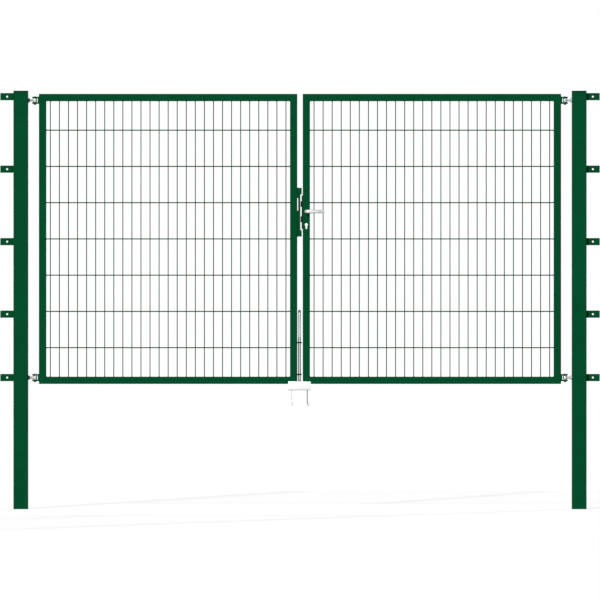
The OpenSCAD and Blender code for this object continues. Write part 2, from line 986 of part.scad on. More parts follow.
left_post();
right_post();
left_post_cap();
right_post_cap();
left_fence_tabs();
right_fence_tabs();
left_eye_bolts();
right_eye_bolts();
left_hinge_nuts();
right_hinge_nuts();
ground_stop_plate();
ground_stop_anchors();
left_hinge_stile();
left_meeting_stile();
left_top_rail();
left_bottom_rail();
left_mesh_panel();
left_hinge_brackets();
left_hinge_pins();
left_pin_nuts();
lock_keep();
upper_bolt_guide();
lower_bolt_guide();
drop_bolt();
right_hinge_stile();
right_meeting_stile();
right_top_rail();
right_bottom_rail();
right_mesh_panel();
right_hinge_brackets();
right_hinge_pins();
right_pin_nuts();
lock_case();
lock_forend();
deadbolt();
lock_screws();
latch_bolt();
spindle();
front_lever();
rear_lever();
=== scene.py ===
"""Looks of a double mesh fence gate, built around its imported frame. Lengths are in metres."""

import json
import math
import random

import bmesh
import bpy
from mathutils import Matrix, Vector


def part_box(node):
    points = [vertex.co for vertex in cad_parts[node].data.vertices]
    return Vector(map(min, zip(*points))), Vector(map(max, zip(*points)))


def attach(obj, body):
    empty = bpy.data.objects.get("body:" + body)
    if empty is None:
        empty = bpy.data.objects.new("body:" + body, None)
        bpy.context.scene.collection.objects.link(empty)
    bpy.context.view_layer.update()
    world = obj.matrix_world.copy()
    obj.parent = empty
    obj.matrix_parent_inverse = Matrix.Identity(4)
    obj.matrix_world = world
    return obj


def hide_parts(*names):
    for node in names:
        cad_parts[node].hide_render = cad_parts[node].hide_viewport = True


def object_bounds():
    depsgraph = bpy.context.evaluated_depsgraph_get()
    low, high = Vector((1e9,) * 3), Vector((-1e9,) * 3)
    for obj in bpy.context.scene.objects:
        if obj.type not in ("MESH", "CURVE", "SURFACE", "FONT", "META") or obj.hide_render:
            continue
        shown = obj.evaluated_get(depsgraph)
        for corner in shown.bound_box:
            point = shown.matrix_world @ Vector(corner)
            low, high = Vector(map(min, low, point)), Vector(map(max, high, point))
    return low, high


MM = 0.001

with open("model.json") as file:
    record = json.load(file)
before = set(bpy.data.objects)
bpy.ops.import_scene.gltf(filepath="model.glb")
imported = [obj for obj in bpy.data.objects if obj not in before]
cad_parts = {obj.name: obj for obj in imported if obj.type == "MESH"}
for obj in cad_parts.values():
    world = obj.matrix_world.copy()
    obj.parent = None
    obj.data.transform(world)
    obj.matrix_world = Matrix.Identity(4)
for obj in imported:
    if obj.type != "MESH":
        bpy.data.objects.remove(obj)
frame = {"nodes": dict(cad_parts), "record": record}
CAD_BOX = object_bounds()
SLOTS = {part["node"]: part["material_slot"] for part in frame["record"]["subparts"]}
MATERIALS = {}


# ---- Shader nodes ----


def feed(tree, socket, value):
    """Links value to a node's input where it is an output, and writes it there where it is a number."""
    if isinstance(value, bpy.types.NodeSocket):
        tree.links.new(value, socket)
    else:
        socket.default_value = value


def mix_node(tree, share, a, b):
    node = tree.nodes.new("ShaderNodeMix")
    feed(tree, node.inputs["Factor"], share)
    feed(tree, node.inputs["A"], a)
    feed(tree, node.inputs["B"], b)
    return node.outputs["Result"]


def math_node(tree, operation, a, b):
    node = tree.nodes.new("ShaderNodeMath")
    node.operation = operation
    feed(tree, node.inputs[0], a)
    feed(tree, node.inputs[1], b)
    return node.outputs[0]


def range_node(tree, value, spread, low, high):
    """Value that goes from low to high where the given one crosses the spread."""
    node = tree.nodes.new("ShaderNodeMapRange")
    node.inputs["From Min"].default_value = spread[0]
    node.inputs["From Max"].default_value = spread[1]
    node.inputs["To Min"].default_value = low
    node.inputs["To Max"].default_value = high
    tree.links.new(value, node.inputs["Value"])
    return node.outputs["Result"]


# ---- Camera, light and floor ----

CAMERA_DISTANCE = 40.0
CAMERA_HEIGHT = 1.153
CAMERA_RANGE = 200.0
VIEW_WIDTH = 3.3107
SENSOR_WIDTH = 36.0

SUN_POWER = 2.6
SUN_SIDE = math.radians(22)
SUN_RISE = math.radians(30)
FILL_POWER = 2.2
FILL_SIDE = math.radians(220)
FILL_RISE = math.radians(25)
LAMP_ANGLE = math.radians(2)

# Light levels of the room, where 1 is white. SOFT is what lights the object, and gloss sees the others.
ROOM_SOFT = 0.3
ROOM_FRONT = 1.0
ROOM_BACK = 1.0
ROOM_SIDES = 0.15
# Share of a direction's length along Y at which the front or back wall starts and is full.
WALL_START = 0.3
WALL_FULL = 0.85

FLOOR_REACH = 60
FLOOR_DROP = 0.5 * MM
FLOOR_GREY = 0.3
FLOOR_GLOW = 0.71


def make_camera():
    low, high = CAD_BOX
    data = bpy.data.cameras.new("camera")
    data.sensor_width = SENSOR_WIDTH
    data.lens = SENSOR_WIDTH * CAMERA_DISTANCE / VIEW_WIDTH
    data.clip_end = CAMERA_RANGE
    camera = bpy.data.objects.new("camera", data)
    bpy.context.scene.collection.objects.link(camera)
    camera.location = ((low.x + high.x) / 2, -CAMERA_DISTANCE, CAMERA_HEIGHT)
    camera.rotation_euler = (math.pi / 2, 0, 0)
    bpy.context.scene.camera = camera


def make_world():
    """White to the camera, soft to the object, and in gloss bright at front and back, dark at the sides."""
    world = bpy.data.worlds.new("studio")
    bpy.context.scene.world = world
    world.use_nodes = True
    tree = world.node_tree
    background = tree.nodes["Background"]
    background.inputs["Color"].default_value = (1, 1, 1, 1)
    path = tree.nodes.new("ShaderNodeLightPath")
    place = tree.nodes.new("ShaderNodeTexCoord")
    split = tree.nodes.new("ShaderNodeSeparateXYZ")
    tree.links.new(place.outputs["Generated"], split.inputs[0])
    depth = split.outputs["Y"]
    front = range_node(tree, depth, (-WALL_START, -WALL_FULL), ROOM_SIDES, ROOM_FRONT)
    back = range_node(tree, depth, (WALL_START, WALL_FULL), ROOM_SIDES, ROOM_BACK)
    room = math_node(tree, "MAXIMUM", front, back)
    light = mix_node(tree, path.outputs["Is Glossy Ray"], ROOM_SOFT, room)
    strength = mix_node(tree, path.outputs["Is Camera Ray"], light, 1.0)
    tree.links.new(strength, background.inputs["Strength"])


def make_sun(name, energy, rise, side, shadow=True):
    """Distant lamp at a rise above level, turned by side from the front towards the left."""
    data = bpy.data.lights.new(name, "SUN")
    data.energy = energy
    data.angle = LAMP_ANGLE
    data.cycles.cast_shadow = shadow
    sun = bpy.data.objects.new(name, data)
    bpy.context.scene.collection.objects.link(sun)
    sun.rotation_euler = (math.pi / 2 - rise, 0, -side)


def make_floor():
    """Floor under the posts, white with faint shadows to the camera and in gloss, and clear from below."""
    bm = bmesh.new()
    bmesh.ops.create_grid(bm, x_segments=1, y_segments=1, size=FLOOR_REACH)
    mesh = bpy.data.meshes.new("floor")
    bm.to_mesh(mesh)
    bm.free()
    floor = bpy.data.objects.new("floor", mesh)
    bpy.context.scene.collection.objects.link(floor)
    mesh.materials.append(floor_material())
    floor.location.z = -FLOOR_DROP


def floor_material():
    material = bpy.data.materials.new("floor")
    material.use_nodes = True
    tree = material.node_tree
    paint = tree.nodes["Principled BSDF"]
    paint.inputs["Base Color"].default_value = (FLOOR_GREY, FLOOR_GREY, FLOOR_GREY, 1)
    paint.inputs["Roughness"].default_value = 1.0
    paint.inputs["Specular IOR Level"].default_value = 0.0
    path = tree.nodes.new("ShaderNodeLightPath")
    seen = math_node(tree, "MAXIMUM", path.outputs["Is Camera Ray"], path.outputs["Is Glossy Ray"])
    glow = tree.nodes.new("ShaderNodeEmission")
    tree.links.new(math_node(tree, "MULTIPLY", seen, FLOOR_GLOW), glow.inputs["Strength"])
    lit = tree.nodes.new("ShaderNodeAddShader")
    tree.links.new(paint.outputs[0], lit.inputs[0])
    tree.links.new(glow.outputs[0], lit.inputs[1])
    clear = tree.nodes.new("ShaderNodeBsdfTransparent")
    side = tree.nodes.new("ShaderNodeNewGeometry")
    hide = tree.nodes.new("ShaderNodeMixShader")
    tree.links.new(side.outputs["Backfacing"], hide.inputs[0])
    tree.links.new(lit.outputs[0], hide.inputs[1])
    tree.links.new(clear.outputs[0], hide.inputs[2])
    tree.links.new(hide.outputs[0], tree.nodes["Material Output"].inputs["Surface"])
    return material


# ---- Materials ----


class Finish:
    """A Principled material whose colour, roughness and bump come from textures in object space.

    A texture's scale is about its number of features to a metre.
    """

    def __init__(self, name, metallic=0.0, specular=0.5):
        self.material = bpy.data.materials.new(name)
        self.material.use_nodes = True
        self.tree = self.material.node_tree
        self.shader = self.tree.nodes["Principled BSDF"]
        self.shader.inputs["Metallic"].default_value = metallic
        self.shader.inputs["Specular IOR Level"].default_value = specular
        place = self.tree.nodes.new("ShaderNodeTexCoord")
        self.place = place.outputs["Object"]
        MATERIALS[name] = self.material

    def stretched(self, scale):
        mapping = self.tree.nodes.new("ShaderNodeMapping")
        mapping.inputs["Scale"].default_value = scale
        self.tree.links.new(self.place, mapping.inputs["Vector"])
        return mapping.outputs["Vector"]

    def noise(self, scale, detail=2.0, place=None):
        node = self.tree.nodes.new("ShaderNodeTexNoise")
        node.inputs["Scale"].default_value = scale
        node.inputs["Detail"].default_value = detail
        self.tree.links.new(place or self.place, node.inputs["Vector"])
        return node.outputs["Fac"]

    def cells(self, scale):
        node = self.tree.nodes.new("ShaderNodeTexVoronoi")
        node.inputs["Scale"].default_value = scale
        self.tree.links.new(self.place, node.inputs["Vector"])
        split = self.tree.nodes.new("ShaderNodeSeparateColor")
        self.tree.links.new(node.outputs["Color"], split.inputs["Color"])
        return split.outputs["Red"]

    def mixed(self, a, b, share):
        return mix_node(self.tree, share, a, b)

    def color(self, value, dark, light, spread=(0.3, 0.7)):
        ramp = self.tree.nodes.new("ShaderNodeValToRGB")
        for stop, place, tint in zip(ramp.color_ramp.elements, spread, (dark, light)):
            stop.position = place
            stop.color = (*tint, 1)
        self.tree.links.new(value, ramp.inputs["Fac"])
        self.tree.links.new(ramp.outputs["Color"], self.shader.inputs["Base Color"])

    def roughness(self, value, low, high, spread=(0.3, 0.7)):
        self.tree.links.new(range_node(self.tree, value, spread, low, high), self.shader.inputs["Roughness"])

    def bump(self, value, height, strength=1.0):
        node = self.tree.nodes.new("ShaderNodeBump")
        node.inputs["Strength"].default_value = strength
        node.inputs["Distance"].default_value = height
        self.tree.links.new(value, node.inputs["Height"])
        self.tree.links.new(node.outputs["Normal"], self.shader.inputs["Normal"])


def green_coat():
    """Powder coat with a fine orange peel."""
    coat = Finish("green_coat", specular=0.03)
    clouds = coat.noise(14, 4)
    peel = coat.noise(330, 2)
    specks = coat.noise(1500, 1)
    coat.color(coat.mixed(clouds, specks, 0.4), (0.0, 0.065, 0.021), (0.0002, 0.077, 0.026))
    coat.roughness(coat.mixed(clouds, peel, 0.5), 0.34, 0.46)
    coat.bump(coat.mixed(peel, specks, 0.25), 0.12 * MM, 0.8)


def cap_plastic():
    """Moulded plastic with a fine grain."""
    plastic = Finish("cap_plastic", specular=0.08)
    grain = plastic.noise(1300, 2)
    tone = plastic.mixed(plastic.noise(30, 3), grain, 0.5)
    plastic.color(tone, (0.002, 0.017, 0.009), (0.005, 0.025, 0.014))
    plastic.roughness(grain, 0.5, 0.62)
    plastic.bump(grain, 0.15 * MM, 0.8)


def zinc_coat(name, metallic, spangle_scale, dull, bright, rough):
    """Zinc-coated steel with faint spangles and cloudy patches."""
    zinc = Finish(name, metallic=metallic)
    spangle = zinc.cells(spangle_scale)
    bloom = zinc.noise(spangle_scale / 3, 5)
    zinc.color(zinc.mixed(spangle, bloom, 0.55), dull, bright, (0.2, 0.8))
    zinc.roughness(zinc.mixed(spangle, bloom, 0.5), *rough, (0.2, 0.8))
    zinc.bump(zinc.mixed(spangle, zinc.noise(700, 3), 0.6), 0.1 * MM, 0.5)


def dark_steel():
    """Blackened steel of the lock."""
    dark = Finish("dark_steel", specular=0.12)
    scale = dark.noise(60, 6)
    fine = dark.noise(900, 2)
    dark.color(dark.mixed(scale, fine, 0.4), (0.003, 0.008, 0.006), (0.009, 0.020, 0.015))
    dark.roughness(scale, 0.42, 0.58)
    dark.bump(fine, 0.1 * MM, 0.5)


def lever_aluminium():
    """Aluminium brushed along the lever."""
    lever = Finish("lever_aluminium", metallic=0.35)
    brushed = lever.noise(900, 3, lever.stretched((0.05, 1, 1)))
    tone = lever.mixed(brushed, lever.noise(25, 3), 0.4)
    lever.color(tone, (0.74, 0.755, 0.76), (0.84, 0.85, 0.85))
    lever.roughness(brushed, 0.26, 0.38)
    lever.bump(brushed, 0.06 * MM, 0.4)


def make_materials():
    green_coat()
    cap_plastic()
    zinc_coat("zinc", 0.6, 160, (0.56, 0.585, 0.59), (0.72, 0.74, 0.745), (0.32, 0.44))
    zinc_coat("bolt_steel", 0.9, 160, (0.56, 0.585, 0.59), (0.66, 0.685, 0.69), (0.22, 0.30))
    # The stop plate's pale zinc is a zinc sheet whose near-white base colour is partly a painted reflection,
    # standing for the bright front that its flat face mirrors.
    zinc_coat("zinc_sheet_painted_reflection", 0.25, 95, (0.86, 0.875, 0.88), (0.93, 0.935, 0.935), (0.40, 0.52))
    # The dark zinc below is painted shade on the left hinge nuts, where it stands for the left post's shadow
    # on them; the pin nuts and the right stop leg take it as a plain darker zinc.
    zinc_coat("dark_zinc_and_painted_shade", 0.3, 120, (0.09, 0.097, 0.10), (0.15, 0.16, 0.163), (0.42, 0.56))
    dark_steel()
    lever_aluminium()


# ---- Shared shapes ----

ROUND = 32
CREASE = math.radians(35)
NUT_STEPS = 48
# Share of a nut's half width over flats at which its 30 degree chamfer starts.
NUT_FACE = 0.95
NUT_SINK = 0.6 * MM
THREAD_SIDES = 24
THREAD_STEPS = 6
THREAD_DEPTH = 0.55
THREAD_END = 1.2 * MM
BEAD_SIDES = 8
BEAD_STEP = 0.9 * MM
BEAD_RIPPLE_PITCH = 2.6 * MM
BEAD_RIPPLE = 0.09
BEAD_UNEVEN = 0.04
BEAD_END = 0.45
BLOB_SIDES = 8
BLOB_ROWS = 4
# Share of a blob's half circle that is cut off at each pole.
BLOB_CUT = 0.1
# Points of a CAD mesh that are closer than this are one point.
POINT_GAP = 0.002 * MM
FLAT_ANGLE = math.radians(0.5)
EDGE_ANGLE = math.radians(28)
EDGE_SEGMENTS = 3
THIN_EDGE = 0.4 * MM
SHEET_EDGE = 0.5 * MM
THICK_EDGE = 0.6 * MM
ROD_EDGE = 1 * MM


def turns_of(count):
    return [math.tau * i / count for i in range(count)]


def circle(place, turns, r, z):
    """Ring of points about place's Z axis."""
    return [place @ Vector((r * math.cos(t), r * math.sin(t), z)) for t in turns]


def hexagon(place, turns, flats, z, slope=0.0, flat_r=0.0):
    """Ring of points on a hexagon about place's Z axis, which slopes down outside the radius flat_r."""
    ring = []
    for t in turns:
        r = flats / 2 / math.cos(t % (math.pi / 3) - math.pi / 6)
        ring.append(place @ Vector((r * math.cos(t), r * math.sin(t), z - slope * (r - flat_r))))
    return ring


def skin(bm, rings, loop=False):
    """Joins rings of as many points each, capped at both ends unless the last joins the first."""
    rows = [[bm.verts.new(point) for point in ring] for ring in rings]
    pairs = list(zip(rows, rows[1:]))
    if loop:
        pairs.append((rows[-1], rows[0]))
    for a, b in pairs:
        for i in range(len(a)):
            j = (i + 1) % len(a)
            bm.faces.new((a[i], a[j], b[j], b[i]))
    if not loop:
        bm.faces.new(list(reversed(rows[0])))
        bm.faces.new(rows[-1])


def turned(bm, profile, place, count=ROUND, loop=False):
    """Surface of revolution of (radius, height) points about place's Z axis."""
    turns = turns_of(count)
    skin(bm, [circle(place, turns, r, z) for r, z in profile], loop)


def nut(bm, flats, height, bore, place, flange=None):
    """Hexagon nut from place along Z, chamfered, with a countersunk bore and perhaps a flange."""
    turns = turns_of(NUT_STEPS)
    face = flats / 2 * NUT_FACE
    chamfer = math.tan(math.pi / 6)
    if flange:
        flange_r, flange_t = flange
        foot = [
            hexagon(place, turns, flats, flange_t),
            circle(place, turns, flange_r - 0.5 * MM, flange_t - 0.6 * MM),
            circle(place, turns, flange_r, flange_t - 1.2 * MM),
            circle(place, turns, flange_r, 0.3 * MM),
            circle(place, turns, flange_r - 0.3 * MM, 0),
        ]
    else:
        foot = [hexagon(place, turns, flats, 0, -chamfer, face), circle(place, turns, face, 0)]
    skin(bm, [
        circle(place, turns, bore, height - NUT_SINK),
        circle(place, turns, bore + NUT_SINK, height),
        circle(place, turns, face, height),
        hexagon(place, turns, flats, height, chamfer, face),
        *foot,
        circle(place, turns, bore + NUT_SINK, 0),
        circle(place, turns, bore, NUT_SINK),
    ], loop=True)


def threaded(bm, radius, pitch, length, place):
    """Threaded rod from place along Z, with chamfered ends."""
    depth = THREAD_DEPTH * pitch
    steps = max(4, round(length / pitch * THREAD_STEPS))
    rings = []
    for k in range(steps + 1):
        z = length * k / steps
        taper = max(0.0, THREAD_END - min(z, length - z))
        ring = []
        for i in range(THREAD_SIDES):
            turn = i / THREAD_SIDES
            phase = (z / pitch - turn) % 1
            r = min(radius - depth * abs(2 * phase - 1), radius - taper)
            ring.append(place @ Vector((r * math.cos(math.tau * turn), r * math.sin(math.tau * turn), z)))
        rings.append(ring)
    skin(bm, rings)


def bead(bm, start, end, width, height=None, seed=1, normal=None):
    """Rippled weld bead between two points, round or flattened along normal."""
    start, end = Vector(start), Vector(end)
    chance = random.Random(seed)
    height = height or width
    along = (end - start).normalized()
    up = Vector(normal) if normal else along.orthogonal().normalized()
    side = along.cross(up).normalized()
    up = side.cross(along).normalized()
    length = (end - start).length
    steps = max(6, round(length / BEAD_STEP))
    rings = []
    for k in range(steps + 1):
        share = k / steps
        wave = math.sin(share * length / BEAD_RIPPLE_PITCH * math.tau)
        ripple = 1 + BEAD_RIPPLE * wave + chance.uniform(-BEAD_UNEVEN, BEAD_UNEVEN)
        close = min(1.0, BEAD_END + min(share, 1 - share) * length / width)
        w, h = width * ripple * close, height * ripple * close
        centre = start + along * length * share
        rings.append([centre + side * w * math.cos(t) + up * h * math.sin(t) for t in turns_of(BEAD_SIDES)])
    skin(bm, rings)


def blob(bm, centre, size):
    """Small rounded drop of weld metal."""
    rings = []
    for k in range(BLOB_ROWS + 1):
        tilt = math.pi * (BLOB_CUT + (1 - 2 * BLOB_CUT) * k / BLOB_ROWS) - math.pi / 2
        flat = math.cos(tilt)
        ring = []
        for t in turns_of(BLOB_SIDES):
            x = size[0] * flat * math.cos(t)
            y = size[1] * flat * math.sin(t)
            ring.append(centre + Vector((x, y, size[2] * math.sin(tilt))))
        rings.append(ring)
    skin(bm, rings)


def add_piece(name, bm, body, material, replaces=(), crease=CREASE):
    """Turns a bmesh into a named piece that rides on a body."""
    bmesh.ops.recalc_face_normals(bm, faces=bm.faces)
    mesh = bpy.data.meshes.new(name)
    bm.to_mesh(mesh)
    bm.free()
    mesh.shade_smooth()
    mesh.set_sharp_from_angle(angle=crease)
    mesh.materials.append(MATERIALS[material])
    piece = bpy.data.objects.new(name, mesh)
    bpy.context.scene.collection.objects.link(piece)
    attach(piece, body)
    if replaces:
        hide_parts(*replaces)


def soften(name, node, body, edge, material=None, part=None):
    """Copy of a CAD node with its edges rounded, which stands for the node, or for one part of it."""
    bm = bmesh.new()
    bm.from_mesh(frame["nodes"][node].data)
    if part:
        bmesh.ops.delete(bm, geom=[v for v in bm.verts if not part(v.co)], context="VERTS")
    bmesh.ops.remove_doubles(bm, verts=bm.verts, dist=POINT_GAP)
    bmesh.ops.dissolve_limit(bm, angle_limit=FLAT_ANGLE, verts=bm.verts, edges=bm.edges)
    edges = [e for e in bm.edges if len(e.link_faces) == 2 and e.calc_face_angle(0) > EDGE_ANGLE]
    bmesh.ops.bevel(
        bm, geom=edges, offset=edge, segments=EDGE_SEGMENTS, profile=0.5, affect="EDGES", clamp_overlap=True,
    )
    slot = SLOTS[node]
    add_piece(name, bm, body, material or slot, [node])


# ---- Mesh panels ----

UPRIGHT_R = 2.5 * MM
LEVEL_R = 3 * MM
UPRIGHT_PITCH = 50 * MM
LEVEL_PITCH = 200 * MM
LEVEL_Y = 5 * MM
MESH_EDGE = 15 * MM
WIRE_STEPS = 16
UPRIGHT_END_WELD = (4.2 * MM, 3.8 * MM, 2.4 * MM)
LEVEL_END_WELD = (2.4 * MM, 4.4 * MM, 4.6 * MM)
CROSSING_WELD = (3.3 * MM, 1.5 * MM, 3.6 * MM)


def centred(count, pitch):
    return [(i - (count - 1) / 2) * pitch for i in range(count)]


def wire_panel(side):
    """Round wires in place of the CAD panel, with the welds where they cross and meet the frame."""
    node = side + "_mesh_panel"
    body = side + "_leaf"
    low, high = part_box(node)
    middle = (low + high) / 2
    across = high.x - low.x
    tall = high.z - low.z
    uprights = centred(math.floor((across - 2 * MESH_EDGE) / UPRIGHT_PITCH) + 1, UPRIGHT_PITCH)
    levels = centred(math.floor((tall - LEVEL_PITCH) / LEVEL_PITCH) + 1, LEVEL_PITCH)
    wires, welds = bmesh.new(), bmesh.new()
    for x in uprights:
        place = Matrix.Translation((middle.x + x, 0, low.z))
        turned(wires, [(UPRIGHT_R, 0), (UPRIGHT_R, tall)], place, WIRE_STEPS)
        for z in (low.z, high.z):
            blob(welds, Vector((middle.x + x, 0, z)), UPRIGHT_END_WELD)
    for z in levels:
        for y in (-LEVEL_Y, LEVEL_Y):
            place = Matrix.Translation((low.x, y, middle.z + z)) @ Matrix.Rotation(math.pi / 2, 4, "Y")
            turned(wires, [(LEVEL_R, 0), (LEVEL_R, across)], place, WIRE_STEPS)
            for x in (low.x, high.x):
                blob(welds, Vector((x, y, middle.z + z)), LEVEL_END_WELD)
            for x in uprights:
                blob(welds, Vector((middle.x + x, y / 2, middle.z + z)), CROSSING_WELD)
    add_piece(side + "_mesh_wires", wires, body, "green_coat", [node])
    add_piece(side + "_mesh_welds", welds, body, "green_coat")


# ---- Leaf frames and their welds ----

FRAME_W = 40 * MM
FRAME_WELD_R = 2.2 * MM
SEAM_HEIGHT = 0.35 * MM
SEAM_INSET = 2.5 * MM
CORNER_WELD_INSET = 4 * MM


def frame_welds(side):
    """Weld seams along the mitres of a leaf's frame and in its inner corners."""
    low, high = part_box(side + "_hinge_stile")
    far_low, far_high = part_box(side + "_meeting_stile")
    left, right = min(low.x, far_low.x), max(high.x, far_high.x)
    bm = bmesh.new()
    seed = 1
    for x, inward_x in ((left, 1), (right, -1)):
        for z, inward_z in ((low.z, 1), (high.z, -1)):
            outer = Vector((x + inward_x * SEAM_INSET, 0, z + inward_z * SEAM_INSET))
            inner = Vector((x + inward_x * FRAME_W, 0, z + inward_z * FRAME_W))
            for y in (low.y, high.y):
                seed += 1
                lift = Vector((0, y, 0))
                bead(bm, outer + lift, inner + lift, FRAME_WELD_R, SEAM_HEIGHT, seed, normal=(0, 1, 0))
            seed += 1
            reach = Vector((0, high.y - CORNER_WELD_INSET, 0))
            bead(bm, inner - reach, inner + reach, FRAME_WELD_R, seed=seed)
    add_piece(side + "_frame_welds", bm, side + "_leaf", "green_coat")


# ---- Hinges ----

EYE_R = 11 * MM
EYE_H = 22 * MM
EYE_SOFT = 1 * MM
EYE_STEPS = 48
SHANK_R = 7 * MM
SHANK_PITCH = 2 * MM
NECK_SINK = 1.5 * MM
PIN_R = 4 * MM
PIN_BORE_R = 4.1 * MM
PIN_PITCH = 1.25 * MM
THREAD_PLAY = 0.1 * MM
SHANK_NUT_FLATS = 21 * MM
SHANK_NUT_T = 10 * MM
FLANGE = (13.5 * MM, 4.5 * MM)
PIN_NUT_FLATS = 13 * MM
PIN_NUT_T = 5 * MM
PIN_TAIL = 1 * MM
PIN_THREAD_SINK = 1 * MM
PIN_HEAD_R = 7 * MM
PIN_HEAD_T = 4 * MM
DOME_STEPS = 9
DOME_TIP_R = 0.3 * MM
BRACKET_H = 39 * MM
BRACKET_WELD_R = 2 * MM
BRACKET_SEED = 40
# The left hinge nuts get the dark zinc as painted shade of the left post; the right ones are plain zinc.
NUT_PAINTED_SHADE = {"left": "dark_zinc_and_painted_shade", "right": "zinc"}


def hinge_heights(side):
    low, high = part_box(side + "_eye_bolts")
    return low.z + EYE_H / 2, high.z - EYE_H / 2


def pin_x(side):
    low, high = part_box(side + "_hinge_pins")
    return (low.x + high.x) / 2


def sideways(x, z, toward):
    """Place at height z on the gate's centre line whose Z axis points along X."""
    return Matrix.Translation((x, 0, z)) @ Matrix.Rotation(toward * math.pi / 2, 4, "Y")


def eye_profile():
    """Section of the eye's ring, as (radius, height) points round it, with softened edges."""
    half = EYE_H / 2
    soft = EYE_SOFT
    return [
        (PIN_BORE_R, -half + soft / 2), (PIN_BORE_R + soft / 2, -half), (EYE_R - soft, -half),
        (EYE_R - 0.3 * soft, -half + 0.3 * soft), (EYE_R, -half + soft), (EYE_R, half - soft),
        (EYE_R - 0.3 * soft, half - 0.3 * soft), (EYE_R - soft, half), (PIN_BORE_R + soft / 2, half),
        (PIN_BORE_R, half - soft / 2),
    ]


def eye_bolts(side, toward):
    """Eyes on threaded shanks. toward is 1 where the leaf is on the post's +X side, and else -1."""
    low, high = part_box(side + "_eye_bolts")
    start = low.x if toward > 0 else high.x
    axis = pin_x(side)
    length = abs(axis - start) - EYE_R - EYE_SOFT
    neck_x = start + toward * (length - NECK_SINK)
    neck = [
        (SHANK_R - 0.9 * MM, 0), (SHANK_R, 1 * MM), (SHANK_R + 0.4 * MM, 3 * MM), (SHANK_R + 1 * MM, 6 * MM),
    ]
    bm = bmesh.new()
    for z in hinge_heights(side):
        turned(bm, eye_profile(), Matrix.Translation((axis, 0, z)), EYE_STEPS, loop=True)
        threaded(bm, SHANK_R, SHANK_PITCH, length, sideways(start, z, toward))
        turned(bm, neck, sideways(neck_x, z, toward))
    add_piece(side + "_threaded_eyes", bm, "root", "zinc", [side + "_eye_bolts"])


def shank_nuts(side, toward):
    """A plain nut inside the post's wall and a flanged one outside it at each hinge."""
    node = side + "_hinge_nuts"
    low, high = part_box(node)
    inner, outer = (low.x, high.x) if toward > 0 else (high.x, low.x)
    spin = Matrix.Rotation(math.pi / 6, 4, "Z")
    bm = bmesh.new()
    for z in hinge_heights(side):
        for x, flange in ((inner, None), (outer - toward * SHANK_NUT_T, FLANGE)):
            place = sideways(x, z, toward) @ spin
            nut(bm, SHANK_NUT_FLATS, SHANK_NUT_T, SHANK_R + THREAD_PLAY, place, flange)
    # On the left side this paints the post's shade onto the nuts as a darker zinc.
    add_piece(side + "_shank_nuts", bm, "root", NUT_PAINTED_SHADE[side], [node])


def dome_profile():
    """The pin's head from its rim to its top, as (radius, height) points on one sphere."""
    dome_r = (PIN_HEAD_R**2 + PIN_HEAD_T**2) / (2 * PIN_HEAD_T)
    dome = []
    for k in range(DOME_STEPS):
        r = PIN_HEAD_R * (1 - k / DOME_STEPS) + DOME_TIP_R * k / DOME_STEPS
        dome.append((r, PIN_HEAD_T - dome_r + math.sqrt(dome_r**2 - r**2)))
    return dome


def hinge_pins(side):
    """Domed pins with a thread below, and the nuts on them."""
    axis = pin_x(side)
    drop = BRACKET_H / 2 + PIN_NUT_T + PIN_TAIL
    profile = [
        (PIN_R, -BRACKET_H), (PIN_R, -0.2 * MM), (PIN_R + 0.3 * MM, 0), (PIN_HEAD_R - 0.3 * MM, 0),
        (PIN_HEAD_R, 0.2 * MM), *dome_profile()[1:],
    ]
    pins, nuts = bmesh.new(), bmesh.new()
    for z in hinge_heights(side):
        turned(pins, profile, Matrix.Translation((axis, 0, z + BRACKET_H / 2)))
        tail = Matrix.Translation((axis, 0, z - drop))
        threaded(pins, PIN_R, PIN_PITCH, drop - BRACKET_H / 2 + PIN_THREAD_SINK, tail)
        seat = Matrix.Translation((axis, 0, z - BRACKET_H / 2 - PIN_NUT_T))
        nut(nuts, PIN_NUT_FLATS, PIN_NUT_T, PIN_R + THREAD_PLAY, seat)
    body = side + "_leaf"
    add_piece(side + "_domed_pins", pins, body, "zinc", [side + "_hinge_pins"])
    add_piece(side + "_lock_nuts", nuts, body, "dark_zinc_and_painted_shade", [side + "_pin_nuts"])


def brackets(side, toward):
    """Bracket plates with rounded edges and the welds that hold them to the stile."""
    node = side + "_hinge_brackets"
    body = side + "_leaf"
    low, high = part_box(node)
    face = high.x if toward > 0 else low.x
    soften(side + "_bracket_plates", node, body, THICK_EDGE)
    bm = bmesh.new()
    seed = BRACKET_SEED
    for z in hinge_heights(side):
        bottom, top = z - BRACKET_H / 2, z + BRACKET_H / 2
        for y in (low.y, high.y):
            seed += 1
            bead(bm, (face, y, bottom), (face, y, top), BRACKET_WELD_R, seed=seed)
        for level in (bottom, top):
            seed += 1
            bead(bm, (face, low.y, level), (face, high.y, level), BRACKET_WELD_R, seed=seed)
    add_piece(side + "_bracket_welds", bm, body, "green_coat")


# ---- Posts ----

TAB_WELD_R = 2.2 * MM
TAB_WELD_REACH = 19 * MM
TAB_SEED = 70
# Levels of the tabs' points that lie further apart than this belong to different tabs.
TAB_SPAN = 50 * MM


def fence_tabs(side, toward):
    """Tabs with rounded edges and the welds that hold them to the post."""
    node = side + "_fence_tabs"
    low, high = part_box(node)
    face = high.x if toward > 0 else low.x
    soften(side + "_tab_plates", node, "root", SHEET_EDGE)
    bm = bmesh.new()
    for index, z in enumerate(tab_heights(node)):
        for row, y in enumerate((low.y, high.y)):
            bottom, top = (face, y, z - TAB_WELD_REACH), (face, y, z + TAB_WELD_REACH)
            bead(bm, bottom, top, TAB_WELD_R, seed=TAB_SEED + 2 * index + row)
    add_piece(side + "_tab_welds", bm, "root", "green_coat")


def tab_heights(node):
    """Middle heights of the tabs, found from the levels of the node's points."""
    levels = sorted({round(v.co.z, 4) for v in frame["nodes"][node].data.vertices})
    middles, first, last = [], levels[0], levels[0]
    for level in levels[1:] + [math.inf]:
        if level - last > TAB_SPAN:
            middles.append((first + last) / 2)
            first = level
        last = level
    return middles


# ---- Lock and handle ----

